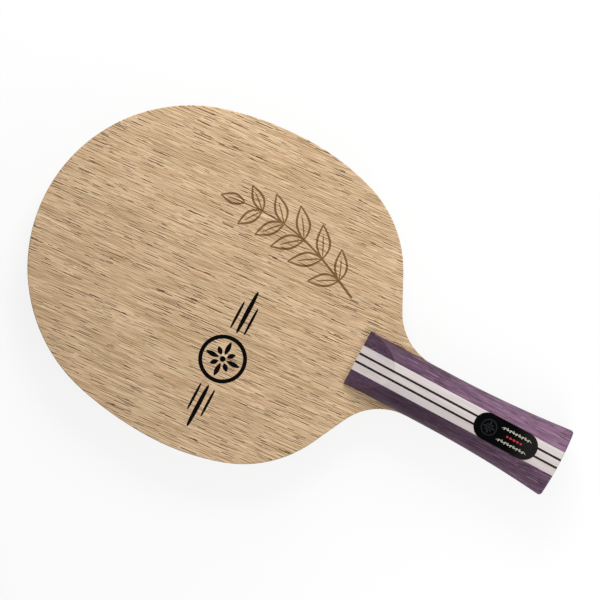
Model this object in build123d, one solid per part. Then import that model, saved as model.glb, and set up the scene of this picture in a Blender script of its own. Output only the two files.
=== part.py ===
from build123d import *
from build123d.topology import SkipClean
import os
from math import cos, radians, sin, sqrt, tan

# Table tennis blade with a flared handle, lying on the rear scale of its handle.
# Millimetres. +Y runs to the tip of the head, -Y to the butt of the handle and +Z out of the front
# face. The origin is midway along and across, at the level of the underside.

# Plan of the head
HEAD_LENGTH = 157.0  # tip to the front end of the handle scales
HEAD_WIDTH = 150.0
WIDEST_FROM_TIP = 92.5
UPPER_SIDE_RADIUS = 155.0  # side of the head above its widest point

# Plan of the neck, where the head narrows to the handle
SHOULDER_RADIUS = 53.5
SHOULDER_TURN = 45.0  # degrees that the shoulder's arc turns through
NECK_SLOPE = 63.3  # degrees between the neck's straight edge and the long axis
NECK_REACH = 15.4  # where that edge would meet the handle's side, behind the scales' front end
NECK_RADIUS = 26.0

# Plan of the handle
HANDLE_LENGTH = 101.8
GRIP_WIDTH = 25.9  # straight front part
BUTT_WIDTH = 32.5
FLARE_LENGTH = 61.0  # the widening part, measured from the butt
BUTT_RADIUS = 140.0  # bow of the butt end
BUTT_CORNER = 1.5

# Plies of the blade, from a face inwards
OUTER_PLY = 0.5
CARBON_PLY = 0.2
INNER_PLY = 0.7
CORE_PLY = 3.0
EDGE_BREAK = 0.25  # sanded edge of each face, outside the handle

# Handle scales
GRIP_THICKNESS = 23.0  # over both scales, in the straight part
BUTT_THICKNESS = 25.0  # and at the butt
CROWN_MARGIN = 0.15  # the crown's ellipse is this much wider than the handle, which leaves flat sides
FRONT_STEP = 1.4  # height of a scale's front end
BEVEL_LENGTH = 18.0  # slope from that step to the full crown
BUTT_ROUND = 0.6  # rounded edge of the butt end

# Strips glued side by side into each scale, from the middle outwards
CENTRE_STRIP = 2.9
DARK_LINE = 1.0
PALE_STRIP = 3.45

# Plate let into the front scale
PLATE_LENGTH = 31.0
PLATE_WIDTH = 12.5
PLATE_FROM_BUTT = 26.9  # its middle
PLATE_RECESS = 0.6
PLATE_PROUD = 0.25
PLATE_CLEARANCE = 0.05
PLATE_BEVEL = 0.15

HALF_HEAD = HEAD_WIDTH / 2
HALF_GRIP = GRIP_WIDTH / 2
HALF_BUTT = BUTT_WIDTH / 2
TIP_Y = (HEAD_LENGTH + HANDLE_LENGTH) / 2
WIDEST_Y = TIP_Y - WIDEST_FROM_TIP
FRONT_Y = TIP_Y - HEAD_LENGTH
BUTT_Y = FRONT_Y - HANDLE_LENGTH
FLARE_Y = BUTT_Y + FLARE_LENGTH
BUTT_CORNER_Y = BUTT_Y + BUTT_RADIUS - sqrt(BUTT_RADIUS**2 - HALF_BUTT**2)

BLADE_THICKNESS = CORE_PLY + 2 * (INNER_PLY + CARBON_PLY + OUTER_PLY)
MIDDLE_Z = BUTT_THICKNESS / 2
FACE_Z = MIDDLE_Z + BLADE_THICKNESS / 2
GRIP_CROWN = (GRIP_THICKNESS - BLADE_THICKNESS) / 2
BUTT_CROWN = (BUTT_THICKNESS - BLADE_THICKNESS) / 2

FACE = Plane.XY.offset(FACE_Z)  # front face of the blade, where the front scale is glued
MIDDLE = Plane.XY.offset(MIDDLE_Z)


def head_plan():
    """Head and neck down to where the neck's curve runs into the handle's side.

    The tip is one arc, whose radius follows from the widest point and the upper side's radius. Below
    the widest point the side turns into the shoulder, the shoulder into the neck's straight edge, and
    a hollow arc leads on into the handle. The lower side's radius is what makes them all meet.
    """
    widest = Vector(HALF_HEAD, WIDEST_Y)
    tip_radius = (2 * HALF_HEAD * UPPER_SIDE_RADIUS - HALF_HEAD**2 - WIDEST_FROM_TIP**2) / (
        2 * (UPPER_SIDE_RADIUS - WIDEST_FROM_TIP)
    )
    tip_centre = Vector(0, TIP_Y - tip_radius)
    upper_centre = widest - Vector(UPPER_SIDE_RADIUS, 0)
    upper_end = upper_centre + (tip_centre - upper_centre).normalized() * UPPER_SIDE_RADIUS

    slope = radians(NECK_SLOPE)
    turn = radians(SHOULDER_TURN)
    corner = Vector(HALF_GRIP, FRONT_Y - NECK_REACH)
    gap = Vector(cos(slope), -sin(slope)).dot(corner - widest)
    lower_radius = (gap - SHOULDER_RADIUS * (1 - cos(turn))) / (cos(turn) - cos(slope))
    neck_start = corner + Vector(sin(slope), cos(slope)) * NECK_RADIUS * tan(slope / 2)

    tip = TangentArc((0, TIP_Y), upper_end, tangent=(1, 0))
    upper_side = TangentArc(upper_end, widest, tangent=tip % 1)
    lower_side = JernArc(widest, (0, -1), lower_radius, SHOULDER_TURN - NECK_SLOPE)
    shoulder = JernArc(lower_side @ 1, lower_side % 1, SHOULDER_RADIUS, -SHOULDER_TURN)
    straight = Line(shoulder @ 1, neck_start)
    neck = JernArc(neck_start, straight % 1, NECK_RADIUS, NECK_SLOPE)
    foot = Line(neck @ 1, (0, (neck @ 1).Y))
    right = tip + upper_side + lower_side + shoulder + straight + neck + foot
    return make_face(right + mirror(right, about=Plane.YZ))


def handle_plan():
    """Outline shared by the handle scales and the plies between them: straight, then flared."""
    front = Line((0, FRONT_Y), (HALF_GRIP, FRONT_Y))
    side = Line((HALF_GRIP, FRONT_Y), (HALF_GRIP, FLARE_Y))
    flare = TangentArc((HALF_GRIP, FLARE_Y), (HALF_BUTT, BUTT_CORNER_Y), tangent=(0, -1))
    right = front + side + flare
    butt = ThreePointArc((HALF_BUTT, BUTT_CORNER_Y), (0, BUTT_Y), (-HALF_BUTT, BUTT_CORNER_Y))
    plan = make_face(right + butt + mirror(right, about=Plane.YZ))
    return fillet(plan.vertices().group_by(Axis.Y)[0], BUTT_CORNER)


def crown_section(y, lift):
    """Ellipse of the crown at one place along the handle, lift above the finished surface."""
    run = FLARE_Y - y
    reach = FLARE_Y - BUTT_CORNER_Y
    rise = HALF_BUTT - HALF_GRIP
    radius = (reach**2 + rise**2) / (2 * rise)
    width = HALF_GRIP + radius - sqrt(radius**2 - run**2)
    height = GRIP_CROWN + (BUTT_CROWN - GRIP_CROWN) * (run / FLARE_LENGTH) ** 2
    across = Plane(origin=(0, y, FACE_Z), x_dir=(1, 0, 0), z_dir=(0, 1, 0))
    return across * Ellipse(height + lift, width + CROWN_MARGIN + lift, rotation=90)


def crown(lift):
    """Solid under the crowned surface: an elliptic bar that swells along the flare."""
    bar = extrude(crown_section(FLARE_Y, lift), amount=FRONT_Y - FLARE_Y)
    swell = loft([crown_section(FLARE_Y - FLARE_LENGTH * share, lift) for share in (0, 0.35, 0.7, 1.05)])
    return bar + swell


def bevel():
    """Wedge taken off the front end of a scale, so that it slopes down to the head."""
    low = FACE_Z + FRONT_STEP
    high = FACE_Z + GRIP_CROWN
    wedge = Polygon(
        (FRONT_Y, low),
        (FRONT_Y - BEVEL_LENGTH, high),
        (FRONT_Y - BEVEL_LENGTH, high + GRIP_CROWN),
        (FRONT_Y, high + GRIP_CROWN),
        align=None,
    )
    return extrude(Plane.YZ * wedge, amount=GRIP_WIDTH, both=True)


def plain_scale():
    """One handle scale before it is cut into strips, with no recess."""
    scale = extrude(FACE * handle_plan(), amount=BUTT_THICKNESS) & crown(0)
    rim = [
        edge
        for edge in scale.edges().filter_by(Axis.Z, reverse=True)
        if edge.bounding_box().max.Y < BUTT_CORNER_Y + BUTT_CORNER and edge.center().Z > FACE_Z + FRONT_STEP
    ]
    return fillet(rim, BUTT_ROUND) - bevel()


def plate_prism(clearance):
    """Upright block with the plate's round-ended outline, smaller all round by the clearance."""
    outline = SlotOverall(PLATE_LENGTH - 2 * clearance, PLATE_WIDTH - 2 * clearance, rotation=90)
    return extrude(FACE * Pos(0, BUTT_Y + PLATE_FROM_BUTT) * outline, amount=BUTT_THICKNESS)


def name_plate():
    """Thin plate bent to the handle's crown, bedded in its recess and a little proud of it."""
    plate = (plate_prism(PLATE_CLEARANCE) & crown(PLATE_PROUD)) - crown(-PLATE_RECESS)
    return chamfer(plate.faces().sort_by(Axis.Z)[-1].edges(), PLATE_BEVEL)


def upright_slab(start, end):
    """Slab along the whole handle between two distances from its middle plane."""
    slab = Box(abs(end - start), 2 * HANDLE_LENGTH, 2 * BUTT_THICKNESS)
    return Pos((start + end) / 2, FRONT_Y - HANDLE_LENGTH / 2, MIDDLE_Z) * slab


def strips(scale, side):
    """Cut one scale into its seven glued strips, as {name: solid}. Left is towards -X."""
    line_start = CENTRE_STRIP / 2
    pale_start = line_start + DARK_LINE
    side_start = pale_start + PALE_STRIP
    bands = {"centre_strip": (-line_start, line_start)}
    for hand, sign in (("left", -1), ("right", 1)):
        bands[f"{hand}_dark_line"] = (sign * line_start, sign * pale_start)
        bands[f"{hand}_pale_strip"] = (sign * pale_start, sign * side_start)
        bands[f"{hand}_side_strip"] = (sign * side_start, sign * BUTT_WIDTH)
    return {f"{side}_{name}": scale & upright_slab(start, end) for name, (start, end) in bands.items()}


def ply(plan, top, thickness):
    """Flat ply whose upper face is at the given height."""
    return extrude(Plane.XY.offset(top - thickness) * plan, amount=thickness)


def outer_ply(plan):
    """Front veneer with its edge broken all round, except where the scale is glued on.

    The scale's footprint stays a face of its own, so the open face of the head is one face.
    """
    veneer = ply(plan, FACE_Z, OUTER_PLY)
    veneer = chamfer(veneer.faces().sort_by(Axis.Z)[-1].edges(), EDGE_BREAK)
    footprint = ply(handle_plan(), FACE_Z, OUTER_PLY)
    with SkipClean():
        return veneer + footprint


def blade():
    """Seven plies pressed together, as {name: solid}."""
    plan = head_plan() + handle_plan()
    carbon_top = FACE_Z - OUTER_PLY
    inner_top = carbon_top - CARBON_PLY
    core_top = inner_top - INNER_PLY
    fronts = {
        "outer_veneer": outer_ply(plan),
        "carbon_ply": ply(plan, carbon_top, CARBON_PLY),
        "inner_ply": ply(plan, inner_top, INNER_PLY),
    }
    plies = {"core_ply": ply(plan, core_top, CORE_PLY)}
    for name, solid in fronts.items():
        plies[f"front_{name}"] = solid
        plies[f"rear_{name}"] = mirror(solid, about=MIDDLE)
    return plies


def paddle():
    """Every piece of the paddle, as {name: solid}."""
    scale = plain_scale()
    front = scale - (plate_prism(0) - crown(-PLATE_RECESS))
    rear = mirror(scale, about=MIDDLE)
    return {
        **blade(),
        **strips(front, "front"),
        **strips(rear, "rear"),
        "name_plate": name_plate(),
    }


os.makedirs("parts", exist_ok=True)
for node, solid in paddle().items():
    export_step(solid, f"parts/{node}.step")
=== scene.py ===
from math import cos, pi, radians, sin

import bpy
import numpy as np
from bpy.props import FloatProperty, FloatVectorProperty, IntProperty, PointerProperty
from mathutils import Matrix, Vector


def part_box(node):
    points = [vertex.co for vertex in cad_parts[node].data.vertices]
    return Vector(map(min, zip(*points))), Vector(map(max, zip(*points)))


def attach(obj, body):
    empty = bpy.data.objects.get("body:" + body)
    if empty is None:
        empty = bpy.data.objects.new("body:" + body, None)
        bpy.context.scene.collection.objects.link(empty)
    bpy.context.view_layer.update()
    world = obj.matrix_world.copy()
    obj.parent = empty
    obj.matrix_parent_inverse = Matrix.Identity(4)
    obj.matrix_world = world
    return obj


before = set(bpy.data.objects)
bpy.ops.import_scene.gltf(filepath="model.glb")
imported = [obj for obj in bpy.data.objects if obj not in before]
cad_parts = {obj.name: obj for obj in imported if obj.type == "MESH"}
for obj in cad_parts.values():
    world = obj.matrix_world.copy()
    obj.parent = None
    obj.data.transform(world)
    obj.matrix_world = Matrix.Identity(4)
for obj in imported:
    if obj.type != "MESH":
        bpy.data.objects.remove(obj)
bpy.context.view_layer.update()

bl_info = {
    "name": "Table tennis blade finish",
    "version": (1, 0, 0),
    "blender": (4, 5, 0),
    "location": "3D View > Sidebar > Blade",
    "description": "Wood, carbon, lacquer and printed marks for a bare table tennis blade",
    "category": "Object",
}

MM = 0.001
BODY = "root"

# Where the handle's painted light changes, in millimetres behind the front of the handle: from the paler
# colour painted on the bevel to the full dye, and from there to the paler colour painted towards the
# butt, for the brighter light on the flare.
BEVEL_RUN = (15.4, 24.4)
BUTT_RUN = (22.4, 97.4)

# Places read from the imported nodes, in metres: +Y to the tip of the head, +Z out of the front face.
FACE_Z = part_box("front_outer_veneer")[1].z
HANDLE_FRONT_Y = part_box("front_centre_strip")[1].y
PLATE_LOW, PLATE_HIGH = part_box("name_plate")


def paint(red, green, blue):
    """A colour as it looks on a screen, 0 to 255, turned into the linear values a shader takes."""
    share = np.array((red, green, blue)) / 255
    linear = np.where(share <= 0.04045, share / 12.92, ((share + 0.055) / 1.055) ** 2.4)
    return tuple(float(part) for part in linear)


def tinted(shade, *share):
    """A colour with its parts multiplied, all by one share or each by its own."""
    return tuple(np.array(shade) * share)


def colour(label, description, *shade):
    """A colour that a user can set; it starts as the shade given, 0 to 255."""
    return FloatVectorProperty(
        name=label, description=description, subtype="COLOR", size=3, min=0, max=1,
        default=paint(*shade),
    )


def length(label, description, millimetres):
    """A length that a user can set; it starts at the millimetres given."""
    return FloatProperty(
        name=label, description=description, unit="LENGTH", precision=5,
        default=millimetres * MM,
    )


# ---------------------------------------------------------------------------------------------
# Sizes and colours that a user would change
# ---------------------------------------------------------------------------------------------


class HeadFinish(bpy.types.PropertyGroup):
    """The open-pored face veneers and the plies that show at the sanded rim."""

    veneer_pale: colour("Veneer pale", "Palest wood between the pores", 217, 187, 149)
    veneer_deep: colour("Veneer deep", "Broad darker bands of the veneer", 196, 165, 127)
    veneer_pore: colour("Veneer pore", "The short open pores", 84, 43, 3)
    lean: FloatProperty(
        name="Grain lean", description="How far the grain leans from the handle's line",
        subtype="ANGLE", default=radians(-4.5),
    )
    pore_run: length("Pore run", "Spacing of the pores along the grain", 13)
    core: colour("Core", "Pale wood of the thick middle ply", 214, 190, 152)
    inner: colour("Inner plies", "Wood of the cross-grained plies", 188, 152, 112)
    carbon: colour("Carbon", "Resin and fibre of the thin carbon plies", 30, 31, 33)


class HandleFinish(bpy.types.PropertyGroup):
    """The dyed, bleached and blackened woods of the striped handle."""

    purple: colour("Purple", "Dye of the outer strips", 58, 45, 55)
    purple_light: colour("Purple light", "Paler fibres of the dyed wood", 126, 97, 119)
    purple_dark: colour("Purple dark", "Grain lines of the dyed wood", 42, 30, 40)
    white: colour("White", "Bleached wood of the pale strips", 219, 209, 208)
    white_grain: colour("White grain", "Faint fibres of the bleached wood", 198, 187, 184)
    black: colour("Black", "Blackened wood of the thin lines", 33, 25, 22)


class PlateFinish(bpy.types.PropertyGroup):
    """The lacquered plate let into the handle, and the marks printed on it."""

    lacquer: colour("Lacquer", "Black of the plate", 4, 4, 5)
    # The painted reflection: grey painted on the plate's end towards the butt, for a soft lamp reflected
    # in the bent lacquer.
    painted_reflection: colour("Clouded lacquer", "Where the palm has dulled it towards the butt", 31, 30, 29)
    ghost: colour("Ghost mark", "Dark grey ink of the rosette", 20, 22, 25)
    red: colour("Red mark", "Red ink of the small diamonds", 190, 44, 50)
    pale: colour("Pale mark", "Silver ink of the scrolls", 190, 186, 172)
    rosette: length("Rosette radius", "Radius of the rosette on the plate", 3.5)
    scroll: length("Scroll length", "Length of each leafy scroll", 15)
    ink: length("Ink thickness", "How far the ink stands off the plate", 0.02)


class FaceMarks(bpy.types.PropertyGroup):
    """The black emblem and the burned sprig on the front of the head."""

    ink: colour("Ink", "Black ink of the emblem", 7, 5, 6)
    burn: colour("Burn", "Scorched wood of the sprig", 132, 96, 55)
    rosette: length("Rosette radius", "Radius of the emblem's rosette", 10)
    emblem_x: length("Emblem X", "Centre of the emblem across the head", -29)
    emblem_y: length("Emblem Y", "Centre of the emblem along the head", 25)
    rule: length("Rule length", "Length of the rule on each side of the rosette", 21)
    sprig_x: length("Sprig X", "Foot of the sprig's stem across the head", 22)
    sprig_y: length("Sprig Y", "Foot of the sprig's stem along the head", -13)
    sprig_length: length("Sprig length", "Height of the sprig along the head", 62)
    leaf: length("Leaf length", "Length of the middle leaves", 16)
    leaf_pairs: IntProperty(
        name="Leaf pairs", description="Leaves on each side of the stem", default=5,
    )
    line: length("Line width", "Width of a burned line", 1.0)
    thickness: length("Ink thickness", "How far the marks stand off the face", 0.02)


class Studio(bpy.types.PropertyGroup):
    """The plain floor, soft lamps and camera."""

    key: FloatProperty(
        name="Key lamp", description="Power of the soft lamp at the right",
        unit="POWER", default=3.5,
    )
    fill: FloatProperty(
        name="Fill lamp", description="Power of the small lamp beyond the butt",
        unit="POWER", default=0.33,
    )
    sky: FloatProperty(name="Sky", description="Even light from all round", default=0.32)
    shadow: FloatProperty(
        name="Shadow", description="How much of its own shadow the floor shows",
        subtype="FACTOR", min=0, max=1, default=0.15,
    )
    width: length("View width", "Width of the square that the camera takes in", 267.4)
    view_x: length("View X", "Point under the camera, across the head", 10.42)
    view_y: length("View Y", "Point under the camera, along the head", 6.94)
    turn: FloatProperty(
        name="Turn", description="Turn of the camera about its own line of sight",
        subtype="ANGLE", default=radians(-61.94),
    )


class BladeSettings(bpy.types.PropertyGroup):
    """Everything above, under one name on the scene."""

    head: PointerProperty(type=HeadFinish)
    handle: PointerProperty(type=HandleFinish)
    plate: PointerProperty(type=PlateFinish)
    marks: PointerProperty(type=FaceMarks)
    studio: PointerProperty(type=Studio)


# ---------------------------------------------------------------------------------------------
# Shader building
# ---------------------------------------------------------------------------------------------


def add(tree, kind, sockets=None, **settings):
    """One node: its settings by name, and its sockets given a value or a link."""
    made = tree.nodes.new("ShaderNode" + kind)
    for name, value in settings.items():
        setattr(made, name, value)
    for key, value in (sockets or {}).items():
        if isinstance(value, bpy.types.NodeSocket):
            tree.links.new(value, made.inputs[key])
        else:
            made.inputs[key].default_value = value
    return made


def math(tree, operation, first, second=0.0, clamp=False):
    """The result of one sum on two values."""
    return add(tree, "Math", {0: first, 1: second}, operation=operation, use_clamp=clamp).outputs[0]


def mix(tree, share, first, second):
    """Two colours mixed by a share, 0 for the first and 1 for the second."""
    made = add(tree, "Mix", {"Factor": share}, data_type="RGBA")
    for key, value in ((6, first), (7, second)):
        if isinstance(value, bpy.types.NodeSocket):
            tree.links.new(value, made.inputs[key])
        else:
            made.inputs[key].default_value = (*value, 1)
    return made.outputs[2]


def remap(tree, value, low, high, to_low, to_high):
    """A value's run from low to high, eased onto another run and held at its ends."""
    return add(
        tree, "MapRange",
        {"Value": value, "From Min": low, "From Max": high, "To Min": to_low, "To Max": to_high},
        interpolation_type="SMOOTHSTEP",
    ).outputs["Result"]


def effect_group(name, inputs, outputs):
    """An empty shader group with its sockets, each input a name, a kind and a starting value."""
    tree = bpy.data.node_groups.new(name, "ShaderNodeTree")
    for label, kind, value in inputs:
        socket = tree.interface.new_socket(label, in_out="INPUT", socket_type="NodeSocket" + kind)
        if value is not None:
            socket.default_value = value
    for label in outputs:
        tree.interface.new_socket(label, in_out="OUTPUT", socket_type="NodeSocketFloat")
    return tree, tree.nodes.new("NodeGroupInput"), tree.nodes.new("NodeGroupOutput")


def place(tree, group_name, there, **sockets):
    """An effect group set in a material, with the surface's place and the material's own values."""
    sockets["Place"] = there
    return add(tree, "Group", sockets, node_tree=bpy.data.node_groups[group_name])


def fibre_group():
    """Streaks of fibre: smooth noise squeezed across the grain and drawn out along it.

    The place, in millimetres, is first pushed sideways by slow noise, so that the streaks
    wander as wood grain does, and then divided by the streak's width, length and depth.
    """
    tree, given, result = effect_group(
        "wood fibres",
        (("Place", "Vector", None), ("Width", "Float", 0.5), ("Length", "Float", 30.0),
         ("Depth", "Float", 0.5), ("Wander", "Float", 1.0), ("Detail", "Float", 2.0)),
        ("Streak",),
    )
    slow = add(tree, "VectorMath", {
        0: given.outputs["Place"], 1: (0.03, 0.012, 0.03),
    }, operation="MULTIPLY")
    drift = add(tree, "TexNoise", {"Vector": slow.outputs[0], "Scale": 1.0, "Detail": 1.0})
    swing = math(tree, "SUBTRACT", drift.outputs[0], 0.5)
    push = math(tree, "MULTIPLY", swing, given.outputs["Wander"])
    aside = add(tree, "CombineXYZ", {0: push, 2: push})
    moved = add(tree, "VectorMath", {
        0: given.outputs["Place"], 1: aside.outputs[0],
    }, operation="ADD")
    cell = add(tree, "CombineXYZ", {
        0: given.outputs["Width"], 1: given.outputs["Length"], 2: given.outputs["Depth"],
    })
    drawn = add(tree, "VectorMath", {0: moved.outputs[0], 1: cell.outputs[0]}, operation="DIVIDE")
    noise = add(tree, "TexNoise", {
        "Vector": drawn.outputs[0], "Scale": 1.0, "Detail": given.outputs["Detail"], "Roughness": 0.6,
    })
    tree.links.new(noise.outputs[0], result.inputs["Streak"])


def pore_group(name, dimensions):
    """Open pores: one straight dash in each cell of a random honeycomb drawn out along the grain.

    A dash shows where the distance across the grain is under half its width, and the distance
    along the grain and down into the wood, in cells, is under its reach. Its length and darkness
    are that cell's own random numbers, so most pores are short or faint and a few are long and
    deep, and streaky noise gathers them in rows. The lip is the rim of polished wood on each side
    of a dash. On a flat face the honeycomb is flat and slides with the level; in turned or
    crowned wood it fills the space.
    """
    tree, given, result = effect_group(
        name,
        (("Place", "Vector", None), ("Spacing", "Float", 0.8), ("Run", "Float", 8.0),
         ("Depth", "Float", 0.5), ("Width", "Float", 0.3), ("Reach", "Float", 0.4),
         ("Gather", "Float", 0.5)),
        ("Pore", "Lip"),
    )
    at = given.outputs["Place"]
    if dimensions == "2D":
        split = add(tree, "SeparateXYZ", {0: at})
        slide = math(tree, "MULTIPLY", split.outputs[2], 3.0)
        at = add(tree, "CombineXYZ", {
            0: math(tree, "ADD", split.outputs[0], slide), 1: split.outputs[1],
        }).outputs[0]
    cell = add(tree, "CombineXYZ", {
        0: given.outputs["Spacing"], 1: given.outputs["Run"], 2: given.outputs["Depth"],
    })
    drawn = add(tree, "VectorMath", {0: at, 1: cell.outputs[0]}, operation="DIVIDE")
    dots = add(tree, "TexVoronoi", {
        "Vector": drawn.outputs[0], "Scale": 1.0, "Randomness": 1.0,
    }, voronoi_dimensions=dimensions)
    off = add(tree, "VectorMath", {
        0: drawn.outputs[0], 1: dots.outputs["Position"],
    }, operation="SUBTRACT")
    gap = add(tree, "SeparateXYZ", {0: off.outputs[0]})
    chance = add(tree, "SeparateColor", {0: dots.outputs["Color"]})
    aside = math(tree, "MULTIPLY", math(tree, "ABSOLUTE", gap.outputs[0]), given.outputs["Spacing"])
    half_width = math(tree, "MULTIPLY", given.outputs["Width"], 0.5)
    across = math(tree, "DIVIDE", aside, half_width)
    onward = add(tree, "CombineXYZ", {1: gap.outputs[1], 2: gap.outputs[2]})
    onward = add(tree, "VectorMath", {0: onward.outputs[0]}, operation="LENGTH").outputs["Value"]
    own_length = remap(tree, chance.outputs[0], 0.0, 1.0, 0.3, 1.0)
    along = math(tree, "DIVIDE", onward, math(tree, "MULTIPLY", given.outputs["Reach"], own_length))
    own_dark = remap(tree, chance.outputs[1], 0.0, 1.0, 0.3, 1.0)
    dark = math(tree, "MULTIPLY", own_dark, remap(tree, along, 1.0, 0.7, 0.0, 1.0))
    spot = math(tree, "MULTIPLY", remap(tree, across, 1.15, 0.7, 0.0, 1.0), dark)
    rim = math(tree, "MULTIPLY", remap(tree, across, 3.2, 1.6, 0.0, 1.0), dark)
    row_place = add(tree, "VectorMath", {0: at, 1: (0.33, 0.03, 0.33)}, operation="MULTIPLY")
    rows = add(tree, "TexNoise", {"Vector": row_place.outputs[0], "Scale": 1.0, "Detail": 2.0})
    thinned = remap(tree, rows.outputs[0], 0.38, 0.58, 1.0, 0.0)
    lost = math(tree, "MULTIPLY", thinned, given.outputs["Gather"])
    kept = math(tree, "SUBTRACT", 1.0, lost, clamp=True)
    pore = math(tree, "MULTIPLY", spot, kept)
    tree.links.new(pore, result.inputs["Pore"])
    lip = math(tree, "SUBTRACT", math(tree, "MULTIPLY", rim, kept), pore, clamp=True)
    tree.links.new(lip, result.inputs["Lip"])


def handling_group():
    """Where a surface has been touched and rubbed: soft cloudy noise of a given size."""
    tree, given, result = effect_group(
        "handling", (("Place", "Vector", None), ("Size", "Float", 12.0)), ("Rub",),
    )
    scaled = add(tree, "VectorMath", {
        0: given.outputs["Place"], "Scale": math(tree, "DIVIDE", 1.0, given.outputs["Size"]),
    }, operation="SCALE")
    cloud = add(tree, "TexNoise", {
        "Vector": scaled.outputs[0], "Scale": 1.0, "Detail": 4.0, "Roughness": 0.55,
    })
    tree.links.new(cloud.outputs[0], result.inputs["Rub"])


def start_material(name, turn=(0.0, 0.0, 0.0)):
    """A new material, its tree, its main shader, and the surface's place in millimetres.

    The turn lays the place's Y along the material's own grain.
    """
    material = bpy.data.materials.new(name)
    material.use_nodes = True
    tree = material.node_tree
    tree.nodes.clear()
    shader = tree.nodes.new("ShaderNodeBsdfPrincipled")
    output = tree.nodes.new("ShaderNodeOutputMaterial")
    tree.links.new(shader.outputs[0], output.inputs["Surface"])
    there = add(tree, "Mapping", {
        "Vector": tree.nodes.new("ShaderNodeTexCoord").outputs["Object"],
        "Rotation": turn,
        "Scale": (1 / MM, 1 / MM, 1 / MM),
    })
    return material, tree, shader, there.outputs[0]


def relief(tree, shader, height, depth, strength):
    """Fine relief on a surface: a height of 1 stands for the depth, in metres."""
    bump = add(tree, "Bump", {"Height": height, "Distance": depth, "Strength": strength})
    tree.links.new(bump.outputs[0], shader.inputs["Normal"])


# ---------------------------------------------------------------------------------------------
# Finishes
# ---------------------------------------------------------------------------------------------


def face_veneer(name, pale, deep, pore_colour, lean, pore_run):
    """Open-pored veneer: soft bands, fine fibres and dark pores.

    The pores come in three sizes, and the large and small ones have pale polished lips. Nothing
    shines inside the deepest.
    """
    material, tree, shader, there = start_material(name, (0.0, 0.0, lean))
    bands = place(
        tree, "wood fibres", there, Width=4.5, Length=70.0, Depth=4.5, Wander=9.0, Detail=2.0,
    )
    tint = place(
        tree, "wood fibres", there, Width=2.6, Length=34.0, Depth=2.6, Wander=6.0, Detail=1.0,
    )
    fibres = place(
        tree, "wood fibres", there, Width=0.4, Length=20.0, Depth=0.4, Wander=3.0, Detail=1.0,
    )
    large = place(
        tree, "face pores", there, Spacing=1.2, Run=pore_run, Width=0.42, Reach=0.4, Gather=0.6,
    )
    small = place(
        tree, "face pores", there, Spacing=0.85, Run=pore_run * 0.65, Width=0.34, Reach=0.4, Gather=0.45,
    )
    long = place(
        tree, "face pores", there, Spacing=2.4, Run=pore_run * 2.6, Width=0.28, Reach=0.45, Gather=0.4,
    )
    wood = mix(tree, remap(tree, bands.outputs[0], 0.36, 0.66, 0.0, 0.8), pale, deep)
    blush = tinted(pale, 1.02, 0.93, 0.93)
    wood = mix(tree, remap(tree, tint.outputs[0], 0.45, 0.66, 0.0, 0.7), wood, blush)
    bright = tinted(pale, 1.22, 1.24, 1.28)
    dusk = tinted(deep, 0.8, 0.74, 0.6)
    wood = mix(tree, remap(tree, fibres.outputs[0], 0.55, 0.65, 0.0, 1.0), wood, bright)
    wood = mix(tree, remap(tree, fibres.outputs[0], 0.44, 0.34, 0.0, 1.0), wood, dusk)
    lips = math(tree, "ADD", large.outputs["Lip"], small.outputs["Lip"], clamp=True)
    wood = mix(tree, math(tree, "MULTIPLY", lips, 0.9), wood, bright)
    wood = mix(tree, math(tree, "MULTIPLY", small.outputs["Pore"], 0.85), wood, pore_colour)
    slit = math(tree, "MULTIPLY", long.outputs["Pore"], 0.6)
    deepest = math(tree, "MAXIMUM", large.outputs["Pore"], slit)
    wood = mix(tree, deepest, wood, pore_colour)
    tree.links.new(wood, shader.inputs["Base Color"])
    rub = place(tree, "handling", there, Size=18.0)
    tree.links.new(remap(tree, rub.outputs[0], 0.3, 0.7, 0.5, 0.62), shader.inputs["Roughness"])
    tree.links.new(remap(tree, deepest, 0.0, 1.0, 0.3, 0.03), shader.inputs["Specular IOR Level"])
    sunk = math(tree, "ADD", large.outputs["Pore"], math(tree, "MULTIPLY", small.outputs["Pore"], 0.5))
    height = math(tree, "SUBTRACT", math(tree, "MULTIPLY", fibres.outputs[0], 0.25), sunk)
    relief(tree, shader, height, 0.06 * MM, 0.7)
    return material


def sanded_ply(name, base, turn):
    """A ply at the sanded rim: long fibres where it is cut along, dots where it is cut across."""
    material, tree, shader, there = start_material(name, (0.0, 0.0, turn))
    fibres = place(
        tree, "wood fibres", there, Width=0.3, Length=9.0, Depth=0.3, Wander=2.0, Detail=3.0,
    )
    rings = place(
        tree, "wood fibres", there, Width=2.6, Length=70.0, Depth=2.6, Wander=5.0, Detail=1.0,
    )
    pores = place(
        tree, "solid pores", there, Spacing=0.5, Run=4.0, Depth=0.45, Width=0.16, Reach=0.45, Gather=0.4,
    )
    darker = tinted(base, 0.62)
    wood = mix(tree, remap(tree, fibres.outputs[0], 0.34, 0.66, 0.0, 0.5), base, darker)
    wood = mix(tree, remap(tree, rings.outputs[0], 0.4, 0.68, 0.0, 0.35), wood, darker)
    wood = mix(tree, math(tree, "MULTIPLY", pores.outputs[0], 0.6), wood, tinted(base, 0.35))
    tree.links.new(wood, shader.inputs["Base Color"])
    tree.links.new(remap(tree, fibres.outputs[0], 0.3, 0.7, 0.58, 0.72), shader.inputs["Roughness"])
    shader.inputs["Specular IOR Level"].default_value = 0.3
    relief(tree, shader, math(tree, "SUBTRACT", fibres.outputs[0], pores.outputs[0]), 0.05 * MM, 0.6)
    return material


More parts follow.
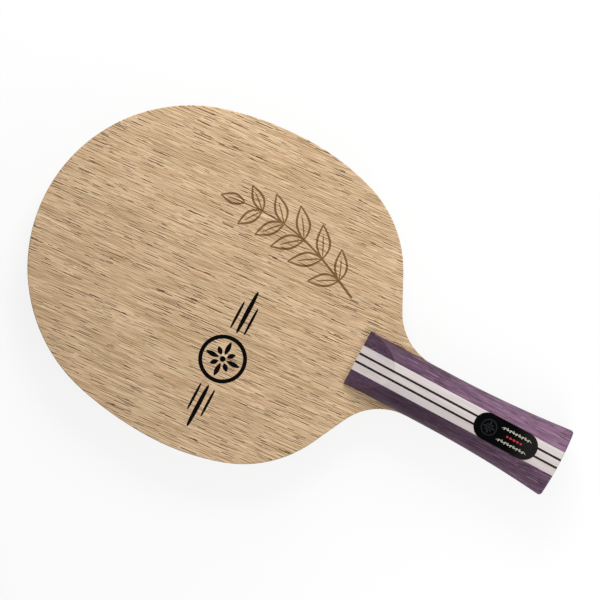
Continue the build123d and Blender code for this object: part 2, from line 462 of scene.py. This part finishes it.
def carbon_edge(name, base):
    """Cut edge of a woven carbon ply: tows lying along and across show as long and short glints."""
    material, tree, shader, there = start_material(name)
    tows = add(tree, "TexWave", {
        "Vector": there, "Scale": 0.16, "Distortion": 0.6, "Detail": 1.0, "Detail Scale": 2.0,
    }, bands_direction="DIAGONAL")
    cut = place(
        tree, "wood fibres", there, Width=0.12, Length=0.9, Depth=0.12, Wander=0.5, Detail=3.0,
    )
    glint = tinted(base, 3.2)
    shade = mix(tree, math(tree, "MULTIPLY", tows.outputs["Fac"], cut.outputs[0]), base, glint)
    tree.links.new(shade, shader.inputs["Base Color"])
    tree.links.new(remap(tree, cut.outputs[0], 0.3, 0.7, 0.32, 0.6), shader.inputs["Roughness"])
    relief(tree, shader, cut.outputs[0], 0.03 * MM, 0.6)
    return material


def dyed_wood(name, base, light, dark, painted_butt_light, streaks, cut):
    """Dyed hard wood, planed and oiled: wandering light and dark streaks and hair-thin pores.

    The colour is painted paler towards the butt, as painted light for the brighter flare there:
    painted_butt_light is that share of paler wood, and streaks is how strongly the fibres show at the
    front.
    On the front bevel, which cuts across the fibres, they show least, and cut is the share of paler
    colour painted there, as painted light for the lit facet.
    """
    material, tree, shader, there = start_material(name)
    broad = place(
        tree, "wood fibres", there, Width=1.5, Length=40.0, Depth=4.0, Wander=3.0, Detail=2.0,
    )
    fine = place(
        tree, "wood fibres", there, Width=0.34, Length=12.0, Depth=1.8, Wander=2.5, Detail=2.0,
    )
    hair = place(
        tree, "wood fibres", there, Width=0.2, Length=5.0, Depth=0.7, Wander=1.0, Detail=2.0,
    )
    pores = place(
        tree, "solid pores", there, Spacing=0.6, Run=9.0, Depth=1.2, Width=0.3, Reach=0.42, Gather=0.3,
    )
    rays = place(
        tree, "solid pores", there, Spacing=0.7, Run=10.0, Depth=1.2, Width=0.32, Reach=0.42, Gather=0.3,
    )
    along = add(tree, "SeparateXYZ", {0: there}).outputs[1]
    behind = math(tree, "SUBTRACT", HANDLE_FRONT_Y / MM, along)
    # Painted light: paler towards the butt, for the brighter light on the flare.
    dye = mix(tree, remap(tree, behind, BUTT_RUN[0], BUTT_RUN[1], 0.0, painted_butt_light), base, light)
    # Painted light: paler colour on the front bevel, for the facet's brighter light.
    dye = mix(tree, remap(tree, behind, BEVEL_RUN[0], BEVEL_RUN[1], cut, 0.0), dye, light)
    off_bevel = remap(tree, behind, BEVEL_RUN[0] - 1, BEVEL_RUN[1] + 2, 0.35, 1.0)
    grown = remap(tree, behind, BUTT_RUN[0] + 10, BUTT_RUN[1], streaks, 1.0)
    shown = math(tree, "MULTIPLY", grown, off_bevel)
    pale = tinted(light, 1.75)
    paler = math(tree, "MULTIPLY", remap(tree, fine.outputs[0], 0.5, 0.68, 0.0, 0.6), shown)
    darker = math(tree, "MULTIPLY", remap(tree, fine.outputs[0], 0.48, 0.32, 0.0, 0.7), shown)
    wood = mix(tree, remap(tree, broad.outputs[0], 0.38, 0.7, 0.0, 0.5), dye, dark)
    wood = mix(tree, paler, wood, pale)
    wood = mix(tree, darker, wood, dark)
    wood = mix(tree, remap(tree, hair.outputs[0], 0.52, 0.72, 0.0, 0.5), wood, light)
    wood = mix(tree, math(tree, "MULTIPLY", rays.outputs[0], shown), wood, pale)
    wood = mix(tree, math(tree, "MULTIPLY", pores.outputs[0], shown), wood, tinted(dark, 0.7))
    tree.links.new(wood, shader.inputs["Base Color"])
    rub = place(tree, "handling", there, Size=9.0)
    tree.links.new(remap(tree, rub.outputs[0], 0.3, 0.7, 0.46, 0.56), shader.inputs["Roughness"])
    shader.inputs["Specular IOR Level"].default_value = 0.5
    shader.inputs["Specular Tint"].default_value = (1.0, 0.55, 0.88, 1)
    relief(tree, shader, math(tree, "SUBTRACT", fine.outputs[0], pores.outputs[0]), 0.05 * MM, 0.7)
    return material


def plain_wood(name, base, grain, share, sheen):
    """Bleached or blackened close-grained wood with only a trace of its fibres left."""
    material, tree, shader, there = start_material(name)
    fine = place(
        tree, "wood fibres", there, Width=0.4, Length=22.0, Depth=3.0, Wander=1.5, Detail=3.0,
    )
    broad = place(
        tree, "wood fibres", there, Width=2.4, Length=38.0, Depth=5.0, Wander=3.0, Detail=1.0,
    )
    wood = mix(tree, remap(tree, fine.outputs[0], 0.4, 0.66, 0.0, share), base, grain)
    wood = mix(tree, remap(tree, broad.outputs[0], 0.42, 0.66, 0.0, share * 0.7), wood, grain)
    tree.links.new(wood, shader.inputs["Base Color"])
    rub = place(tree, "handling", there, Size=9.0)
    tree.links.new(remap(tree, rub.outputs[0], 0.3, 0.7, 0.42, 0.54), shader.inputs["Roughness"])
    shader.inputs["Specular IOR Level"].default_value = sheen
    relief(tree, shader, fine.outputs[0], 0.02 * MM, 0.5)
    return material


def lacquer(name, base, painted_reflection, reflection_start_y, reflection_full_y):
    """Deep gloss lacquer with faint polishing marks and a trace of fingerprints in its shine.

    Towards the butt a painted reflection of a lamp greys it, from reflection_start_y, in millimetres, to
    reflection_full_y.
    """
    material, tree, shader, there = start_material(name)
    marks = place(
        tree, "wood fibres", there, Width=0.08, Length=4.0, Depth=0.3, Wander=4.0, Detail=3.0,
    )
    rub = place(tree, "handling", there, Size=4.0)
    shade = mix(tree, remap(tree, rub.outputs[0], 0.35, 0.7, 0.0, 1.0), base, tinted(base, 1.6))
    along = add(tree, "SeparateXYZ", {0: there}).outputs[1]
    # Painted reflection: the plate greys towards the butt, with an edge made ragged by the rubbing
    # noise.
    cloud = math(tree, "ADD", along, math(tree, "MULTIPLY", rub.outputs[0], 3.0))
    shade = mix(tree, remap(tree, cloud, reflection_start_y, reflection_full_y, 0.0, 1.0), shade, painted_reflection)
    tree.links.new(shade, shader.inputs["Base Color"])
    touched = math(tree, "MULTIPLY", rub.outputs[0], 0.12)
    polished = math(tree, "MULTIPLY", marks.outputs[0], 0.1)
    tree.links.new(math(tree, "ADD", touched, polished), shader.inputs["Roughness"])
    shader.inputs["Specular IOR Level"].default_value = 0.06
    relief(tree, shader, marks.outputs[0], 0.004 * MM, 0.5)
    return material


def ink(name, base, worn, sheen):
    """Screen-printed ink: even, a little satin, thinned here and there by the surface under it."""
    material, tree, shader, there = start_material(name)
    thin = place(tree, "face pores", there, Spacing=0.5, Run=2.6, Width=0.14, Reach=0.4, Gather=0.3)
    rub = place(tree, "handling", there, Size=3.0)
    shade = mix(tree, remap(tree, rub.outputs[0], 0.45, 0.75, 0.0, 0.35), base, worn)
    shade = mix(tree, math(tree, "MULTIPLY", thin.outputs[0], 0.4), shade, worn)
    tree.links.new(shade, shader.inputs["Base Color"])
    tree.links.new(remap(tree, rub.outputs[0], 0.3, 0.7, 0.4, 0.52), shader.inputs["Roughness"])
    shader.inputs["Specular IOR Level"].default_value = sheen
    relief(tree, shader, rub.outputs[0], 0.01 * MM, 0.4)
    return material


def dress(node_names, material):
    """Gives CAD nodes a finish in place of their plain one."""
    for name in node_names:
        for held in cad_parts[name].material_slots:
            held.material = material


# ---------------------------------------------------------------------------------------------
# Flat marks: bands carried along lines
# ---------------------------------------------------------------------------------------------


def band(line, half_width, closed=False):
    """A strip of even thickness carried along a line in plan.

    At each point of the line two edges stand off it by the half width, square to the line's
    own direction, which is the difference between its neighbours. Returns the plan places and
    levels of four corners a point (level 0 for the underside, 1 for the top) and their faces.
    """
    before = np.roll(line, 1, axis=0) if closed else np.vstack((line[:1], line[:-1]))
    after = np.roll(line, -1, axis=0) if closed else np.vstack((line[1:], line[-1:]))
    along = after - before
    along /= np.linalg.norm(along, axis=1, keepdims=True)
    left = np.column_stack((-along[:, 1], along[:, 0])) * np.reshape(half_width, (-1, 1))
    plan = np.stack((line + left, line + left, line - left, line - left), axis=1).reshape(-1, 2)
    level = np.tile((0.0, 1.0, 1.0, 0.0), len(line))
    count = len(line)
    first = np.arange(count if closed else count - 1)[:, None] * 4
    second = (first + 4) % (4 * count)
    corner = np.arange(4)[None, :]
    beside = (corner + 1) % 4
    faces = np.stack((first + corner, first + beside, second + beside, second + corner), axis=2)
    faces = faces.reshape(-1, 4)
    if not closed:
        end = 4 * (count - 1)
        faces = np.vstack((faces, (0, 3, 2, 1), (end, end + 1, end + 2, end + 3)))
    return plan, level, faces


def circle(centre, radius, points=97):
    """Points at even angles all round a circle."""
    angle = np.linspace(0, 2 * pi, points, endpoint=False)
    return np.column_stack((centre[0] + radius * np.cos(angle), centre[1] + radius * np.sin(angle)))


def swelling(points, middle, power=1.0, tip=0.04 * MM):
    """Half widths that rise as a half sine wave from a fine tip to the middle and fall again.

    A power under 1 makes the line keep its middle width for longer.
    """
    return tip + (middle - tip) * np.sin(np.linspace(0, pi, points)) ** power


def disc(centre, radius, points=33):
    """A round spot, as a band along its diameter whose half width is the circle's half chord.

    The band stops a little short of each end, at the angle blunt, where it would have no width.
    """
    blunt = 0.04
    turn = np.linspace(blunt, pi - blunt, points)
    line = np.column_stack((centre[0] - radius * np.cos(turn), np.full(points, centre[1])))
    return band(line, radius * np.sin(turn))


def diamond(centre, half_length, half_width):
    """A lozenge with its long way along Y."""
    point = 0.02 * MM
    along = centre[1] + half_length * np.array((-1.0, 0.0, 1.0))
    line = np.column_stack((np.full(3, centre[0]), along))
    return band(line, np.array((point, half_width, point)))


def rule(centre, reach, half_width, points=25):
    """A straight line along X that swells in its middle and runs out to a point at each end."""
    across = centre[0] + reach * np.linspace(-1, 1, points)
    line = np.column_stack((across, np.full(points, centre[1])))
    return band(line, swelling(points, half_width, power=0.35))


def scroll(centre, reach, waves):
    """A wavy stem along Y that fades out at both ends, with a small leaf in the hollow of each wave.

    The stem is a cosine wave. A leaf starts on each of its crests and leans across to the other
    side, so leaves stand left and right by turns.
    """
    sway = 0.32 * MM
    stem_half_width = 0.15 * MM
    leaf_across = 1.1 * MM
    leaf_along = 0.55 * MM
    leaf_half_width = 0.24 * MM
    share = np.linspace(-0.5, 0.5, 24 * waves + 1)
    across = sway * np.cos(2 * pi * waves * share)
    stem = np.array(centre) + np.column_stack((across, share * reach))
    made = [band(stem, swelling(len(stem), stem_half_width, power=0.3))]
    run = np.linspace(0, 1, 13)
    for step in range(2 * waves - 1):
        side = -1 if step % 2 == 0 else 1
        foot = np.array(centre) + (-side * sway, ((step + 1) / (2 * waves) - 0.5) * reach)
        leaf = foot + np.column_stack((side * leaf_across * run, leaf_along * run ** 2))
        made.append(band(leaf, swelling(len(run), leaf_half_width, power=0.8)))
    return made


def rosette(centre, radius, ring_half_width):
    """A ring, a spot in its middle and eight petals, long and short by turns, round the spot.

    The petals start and end at shares of the ring's radius.
    """
    made = [band(circle(centre, radius), ring_half_width, closed=True)]
    made.append(disc(centre, radius * 0.13))
    petal = swelling(25, radius * 0.11, power=0.8)
    for step in range(8):
        heading = pi / 4 * step
        ahead = np.array((cos(heading), sin(heading)))
        end = 0.84 if step % 2 == 0 else 0.6
        run = np.linspace(radius * 0.2, radius * end, len(petal))
        made.append(band(np.array(centre) + np.outer(run, ahead), petal))
    return made


def marks_piece(name, bands, surface, thickness, material):
    """One printed or burned piece made of several bands, laid on a surface and riding on the blade.

    A corner's height is the surface's height at its place, plus the ink's thickness at level 1
    and less the same again at level 0, so that the underside is just let into the surface. Each
    band lies a hair above the one before it, so crossing bands share no face.
    """
    lift = 0.0006 * MM
    counts = [len(level) for _, level, _ in bands]
    starts = np.cumsum([0] + counts[:-1])
    plan = np.vstack([plan for plan, _, _ in bands])
    level = np.concatenate([level for _, level, _ in bands])
    faces = np.vstack([faces + start for (_, _, faces), start in zip(bands, starts)])
    hair = np.repeat(np.arange(len(bands)), counts) * lift
    height = surface(plan[:, 0], plan[:, 1]) + thickness * (2 * level - 1) + hair
    mesh = bpy.data.meshes.new(name)
    mesh.from_pydata(np.column_stack((plan, height)).tolist(), [], faces.tolist())
    mesh.materials.append(material)
    mesh.update()
    piece = bpy.data.objects.new(name, mesh)
    bpy.context.scene.collection.objects.link(piece)
    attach(piece, BODY)


def flat_face(x, y):
    """The front of the head is level."""
    return np.full(len(x), FACE_Z)


def bent_plate():
    """Height of the plate's bent top at any place on it.

    The top is fitted by least squares, weighted by area, with a surface that is even across
    the plate (squares and fourth powers of x) and bends slowly along it (y, its square, and
    their products with x squared).
    """
    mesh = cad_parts["name_plate"].data
    normals = np.empty(len(mesh.polygons) * 3)
    centres = np.empty(len(mesh.polygons) * 3)
    areas = np.empty(len(mesh.polygons))
    mesh.polygons.foreach_get("normal", normals)
    mesh.polygons.foreach_get("center", centres)
    mesh.polygons.foreach_get("area", areas)
    up = normals.reshape(-1, 3)[:, 2] > 0.7
    top = centres.reshape(-1, 3)[up]
    middle = (PLATE_LOW + PLATE_HIGH) / 2

    def terms(x, y):
        across = (x - middle.x) ** 2
        along = y - middle.y
        return np.column_stack((
            np.ones(len(x)), across, across ** 2, along, along ** 2,
            across * along, across ** 2 * along,
        ))

    scale = np.abs(terms(top[:, 0], top[:, 1])).max(axis=0)
    weight = np.sqrt(areas[up])[:, None]
    design = terms(top[:, 0], top[:, 1]) / scale
    share = np.linalg.lstsq(design * weight, top[:, 2] * weight[:, 0], rcond=None)[0]
    return lambda x, y: terms(x, y) / scale @ share


# ---------------------------------------------------------------------------------------------
# Operators: one for each group of like pieces
# ---------------------------------------------------------------------------------------------


class BLADE_OT_effects(bpy.types.Operator):
    """Build the shared effects: fibres, pores and handling"""

    bl_idname = "blade.effects"
    bl_label = "Shared effects"

    def execute(self, context):
        fibre_group()
        pore_group("face pores", "2D")
        pore_group("solid pores", "3D")
        handling_group()
        return {"FINISHED"}


class BLADE_OT_head(bpy.types.Operator):
    """Finish the face veneers, the core, the cross-grained plies and the carbon plies"""

    bl_idname = "blade.head"
    bl_label = "Head and plies"

    def execute(self, context):
        head = context.scene.blade.head
        veneer = face_veneer(
            "pale open-pored veneer", head.veneer_pale[:], head.veneer_deep[:], head.veneer_pore[:],
            head.lean, head.pore_run / MM,
        )
        dress(("front_outer_veneer", "rear_outer_veneer"), veneer)
        dress(("core_ply",), sanded_ply("sanded core wood", head.core[:], 0.0))
        cross = sanded_ply("sanded cross-grained wood", head.inner[:], pi / 2)
        dress(("front_inner_ply", "rear_inner_ply"), cross)
        carbon = carbon_edge("cut carbon weave", head.carbon[:])
        dress(("front_carbon_ply", "rear_carbon_ply"), carbon)
        return {"FINISHED"}


class BLADE_OT_handle(bpy.types.Operator):
    """Finish the dyed, bleached and blackened strips of both handle scales"""

    bl_idname = "blade.handle"
    bl_label = "Handle strips"

    def execute(self, context):
        wood = context.scene.blade.handle
        dye = (wood.purple[:], wood.purple_light[:], wood.purple_dark[:])
        # Shaded and lit copies of one dye, as painted light: the left strips, away from the key lamp,
        # get a darkened copy, and the right strips a copy painted paler towards the butt and with
        # stronger streaks. The cut shares paint the bevel paler on both.
        deep = tuple(tinted(shade, 0.84) for shade in dye)
        purple = {
            "left": dyed_wood("purple dyed wood", *deep, painted_butt_light=0.4, streaks=0.3, cut=0.25),
            "right": dyed_wood("faded purple dyed wood", *dye, painted_butt_light=1.0, streaks=0.9, cut=0.1),
        }
        white = plain_wood("bleached wood", wood.white[:], wood.white_grain[:], share=0.6, sheen=0.4)
        black = plain_wood(
            "blackened wood", wood.black[:], tinted(wood.black, 1.8), share=0.5, sheen=0.15,
        )
        for face in ("front", "rear"):
            dress((f"{face}_centre_strip",), white)
            for side in ("left", "right"):
                dress((f"{face}_{side}_dark_line",), black)
                dress((f"{face}_{side}_pale_strip",), white)
                dress((f"{face}_{side}_side_strip",), purple[side])
        return {"FINISHED"}


class BLADE_OT_plate(bpy.types.Operator):
    """Finish the plate and lay its rosette, diamonds and leafy scrolls on its bent top"""

    bl_idname = "blade.plate"
    bl_label = "Name plate"

    def execute(self, context):
        plate = context.scene.blade.plate
        # Where the plate's painted reflection starts and where it is full, towards the butt.
        reflection_start_y = (PLATE_LOW.y + 15 * MM) / MM
        reflection_full_y = (PLATE_LOW.y + 5 * MM) / MM
        black = lacquer("black gloss lacquer", plate.lacquer[:], plate.painted_reflection[:], reflection_start_y, reflection_full_y)
        dress(("name_plate",), black)
        top = bent_plate()
        middle = (PLATE_LOW + PLATE_HIGH) / 2
        rosette_y = PLATE_HIGH.y - 7.0 * MM
        marks_y = middle.y - 4.2 * MM
        scroll_x = 2.9 * MM
        grey = ink("dark grey ink", plate.ghost[:], plate.lacquer[:], sheen=0.35)
        petals = rosette((0, rosette_y), plate.rosette, 0.2 * MM)
        marks_piece("plate_rosette", petals, top, plate.ink, grey)
        lozenges = [
            diamond((0, marks_y + step * 1.7 * MM), (0.9 - 0.12 * abs(step)) * MM, 0.6 * MM)
            for step in (-2, -1, 0, 1, 2)
        ]
        red = ink("red ink", plate.red[:], tinted(plate.red, 0.5), sheen=0.4)
        marks_piece("plate_red_diamonds", lozenges, top, plate.ink, red)
        scrolls = []
        for side in (1, -1):
            scrolls += scroll((side * scroll_x, marks_y), plate.scroll, waves=5)
        silver = ink("silver ink", plate.pale[:], tinted(plate.pale, 0.5), sheen=0.4)
        marks_piece("plate_scrolls", scrolls, top, plate.ink, silver)
        return {"FINISHED"}


class BLADE_OT_emblem(bpy.types.Operator):
    """Print the black emblem on the head: a rosette in a ring, between tapering rules"""

    bl_idname = "blade.emblem"
    bl_label = "Face emblem"

    def execute(self, context):
        marks = context.scene.blade.marks
        centre = np.array((marks.emblem_x, marks.emblem_y))
        ring_half_width = 0.9 * MM
        gap = 3 * MM
        apart = 3.4 * MM
        pieces = rosette(centre, marks.rosette, ring_half_width)
        for side in (-1, 1):
            middle = centre + (side * (marks.rosette + gap + marks.rule / 2), 0)
            pieces.append(rule(middle, marks.rule / 2, 1.0 * MM))
            for way in (-1, 1):
                beside = middle + (-side * gap, way * apart)
                pieces.append(rule(beside, marks.rule * 0.32, 0.6 * MM))
        black = ink("black ink", marks.ink[:], tinted(marks.ink, 2.5), sheen=0.06)
        marks_piece("face_emblem", pieces, flat_face, marks.thickness, black)
        return {"FINISHED"}


class BLADE_OT_sprig(bpy.types.Operator):
    """Burn the leafy sprig into the head: a bowed stem with pairs of outlined leaves"""

    bl_idname = "blade.sprig"
    bl_label = "Burned sprig"

    def stem(self, share, marks):
        """The stem's place at a share of its height: a slow S across, straight along."""
        sway = 10 * MM
        lean = 12 * MM
        across = sway * np.sin(share * pi * 0.9) + lean * share ** 2
        return np.column_stack((marks.sprig_x + across, marks.sprig_y + marks.sprig_length * share))

    def leaf(self, foot, heading, size, half_line):
        """A leaf's outline: two half waves bulging from its spine, one each way, and its vein."""
        share = (1 - np.cos(np.linspace(0, pi, 29))) / 2
        ahead = np.array((cos(heading), sin(heading)))
        aside = np.array((-ahead[1], ahead[0]))
        bulge = size * 0.19 * np.sin(share * pi) * (1.25 - 0.5 * share)
        curl = size * 0.1 * share ** 2
        made = []
        for way in (-1, 1):
            edge = foot + np.outer(share * size, ahead) + np.outer(way * bulge + curl, aside)
            made.append(band(edge, half_line * (0.55 + 0.45 * np.sin(share * pi))))
        vein = foot + np.outer(share * size * 0.72, ahead) + np.outer(curl * 0.72, aside)
        made.append(band(vein, swelling(29, half_line * 0.6)))
        return made

    def execute(self, context):
        marks = context.scene.blade.marks
        half_line = marks.line / 2
        share = np.linspace(0, 1, 81)
        pieces = [band(self.stem(share, marks), half_line * (1.15 - 0.6 * share))]
        spread = radians(48)
        for at in np.linspace(0.14, 0.86, marks.leaf_pairs):
            near = self.stem(np.array((at, at + 0.01)), marks)
            heading = np.arctan2(*(near[1] - near[0])[::-1])
            size = marks.leaf * (1 - 0.5 * abs(at - 0.4))
            for way in (-1, 1):
                pieces += self.leaf(near[0], heading + way * spread, size, half_line)
        tip = self.stem(np.array((0.97, 1.0)), marks)
        heading = np.arctan2(*(tip[1] - tip[0])[::-1])
        pieces += self.leaf(tip[1], heading, marks.leaf * 0.7, half_line)
        head = context.scene.blade.head
        burned = face_veneer(
            "scorched veneer", marks.burn[:], tinted(marks.burn, 0.72),
            tinted(head.veneer_pore, 0.7), head.lean, head.pore_run / MM,
        )
        marks_piece("face_sprig", pieces, flat_face, marks.thickness, burned)
        return {"FINISHED"}


class BLADE_OT_stage(bpy.types.Operator):
    """Set the plain floor, the two soft lamps, the even sky and the camera"""

    bl_idname = "blade.stage"
    bl_label = "Stage"

    def floor(self, shadow):
        """A wide floor, white where it is seen straight, in reflections or through something.

        It keeps the given share of the object's shadow, and to all other rays it is grey.
        """
        material = bpy.data.materials.new("plain pale floor")
        material.use_nodes = True
        tree = material.node_tree
        tree.nodes.clear()
        path = tree.nodes.new("ShaderNodeLightPath").outputs
        seen = math(tree, "MAXIMUM", path["Is Camera Ray"], path["Is Glossy Ray"])
        seen = math(tree, "MAXIMUM", seen, path["Is Transmission Ray"])
        tone = mix(tree, seen, (0.5, 0.5, 0.5), (1.0, 1.0, 1.0))
        lit = add(tree, "BsdfDiffuse", {"Color": tone})
        white = add(tree, "Emission", {"Color": (1, 1, 1, 1), "Strength": 1.0})
        share = math(tree, "MULTIPLY", seen, 1 - shadow)
        blend = add(tree, "MixShader", {0: share, 1: lit.outputs[0], 2: white.outputs[0]})
        output = tree.nodes.new("ShaderNodeOutputMaterial")
        tree.links.new(blend.outputs[0], output.inputs["Surface"])
        mesh = bpy.data.meshes.new("floor")
        reach = 4.0
        corners = [(-reach, -reach, 0), (reach, -reach, 0), (reach, reach, 0), (-reach, reach, 0)]
        mesh.from_pydata(corners, [], [(0, 1, 2, 3)])
        mesh.materials.append(material)
        floor = bpy.data.objects.new("floor", mesh)
        bpy.context.scene.collection.objects.link(floor)

    def world(self, sky):
        """An even sky lights the blade; the camera sees plain white behind it."""
        world = bpy.data.worlds.new("studio")
        bpy.context.scene.world = world
        world.use_nodes = True
        tree = world.node_tree
        tree.nodes.clear()
        light = add(tree, "Background", {"Color": (0.98, 0.99, 1.0, 1), "Strength": sky})
        white = add(tree, "Background", {"Color": (1, 1, 1, 1), "Strength": 1.0})
        seen = tree.nodes.new("ShaderNodeLightPath").outputs["Is Camera Ray"]
        blend = add(tree, "MixShader", {0: seen, 1: light.outputs[0], 2: white.outputs[0]})
        output = tree.nodes.new("ShaderNodeOutputWorld")
        tree.links.new(blend.outputs[0], output.inputs["Surface"])

    def lamp(self, name, power, size, reach, azimuth, drop):
        """A square soft lamp aimed at the blade, at an angle round it and down from overhead."""
        light = bpy.data.lights.new(name, "AREA")
        light.energy = power
        light.size = size
        lamp = bpy.data.objects.new(name, light)
        away = Vector((sin(drop) * cos(azimuth), sin(drop) * sin(azimuth), cos(drop)))
        lamp.location = Vector((0, 0, FACE_Z)) + away * reach
        lamp.rotation_euler = away.to_track_quat("Z", "Y").to_euler()
        lamp.visible_camera = False
        bpy.context.scene.collection.objects.link(lamp)

    def execute(self, context):
        studio = context.scene.blade.studio
        self.floor(studio.shadow)
        self.world(studio.sky)
        self.lamp(
            "key_lamp", studio.key, size=0.36, reach=0.6, azimuth=radians(17), drop=radians(58),
        )
        self.lamp(
            "fill_lamp", studio.fill, size=0.15, reach=0.32, azimuth=radians(-117), drop=radians(60),
        )
        lens = bpy.data.cameras.new("camera")
        lens.type = "ORTHO"
        lens.ortho_scale = studio.width
        camera = bpy.data.objects.new("camera", lens)
        camera.location = (studio.view_x, studio.view_y, 1.0)
        camera.rotation_euler = (0, 0, studio.turn)
        context.scene.collection.objects.link(camera)
        context.scene.camera = camera
        context.scene.view_settings.view_transform = "Standard"
        return {"FINISHED"}


class BLADE_PT_panel(bpy.types.Panel):
    """Sizes and colours of the blade's finish, and a button for each group of pieces"""

    bl_idname = "BLADE_PT_panel"
    bl_label = "Blade finish"
    bl_space_type = "VIEW_3D"
    bl_region_type = "UI"
    bl_category = "Blade"

    def draw(self, context):
        settings = context.scene.blade
        for title, group in (
            ("Head", settings.head), ("Handle", settings.handle), ("Plate", settings.plate),
            ("Marks", settings.marks), ("Studio", settings.studio),
        ):
            box = self.layout.box()
            box.label(text=title)
            for name in group.bl_rna.properties.keys():
                if name not in ("rna_type", "name"):
                    box.prop(group, name)
        for operator in OPERATORS:
            self.layout.operator(operator.bl_idname)


OPERATORS = (
    BLADE_OT_stage, BLADE_OT_effects, BLADE_OT_head, BLADE_OT_handle, BLADE_OT_plate,
    BLADE_OT_emblem, BLADE_OT_sprig,
)
GROUPS = (HeadFinish, HandleFinish, PlateFinish, FaceMarks, Studio, BladeSettings)


def register():
    for each in GROUPS + OPERATORS + (BLADE_PT_panel,):
        bpy.utils.register_class(each)
    bpy.types.Scene.blade = PointerProperty(type=BladeSettings)


def unregister():
    del bpy.types.Scene.blade
    for each in reversed(GROUPS + OPERATORS + (BLADE_PT_panel,)):
        bpy.utils.unregister_class(each)


def main():
    """Builds every group of pieces."""
    register()
    bpy.ops.blade.stage()
    bpy.ops.blade.effects()
    bpy.ops.blade.head()
    bpy.ops.blade.handle()
    bpy.ops.blade.plate()
    bpy.ops.blade.emblem()
    bpy.ops.blade.sprig()


if __name__ == "__main__":
    main()
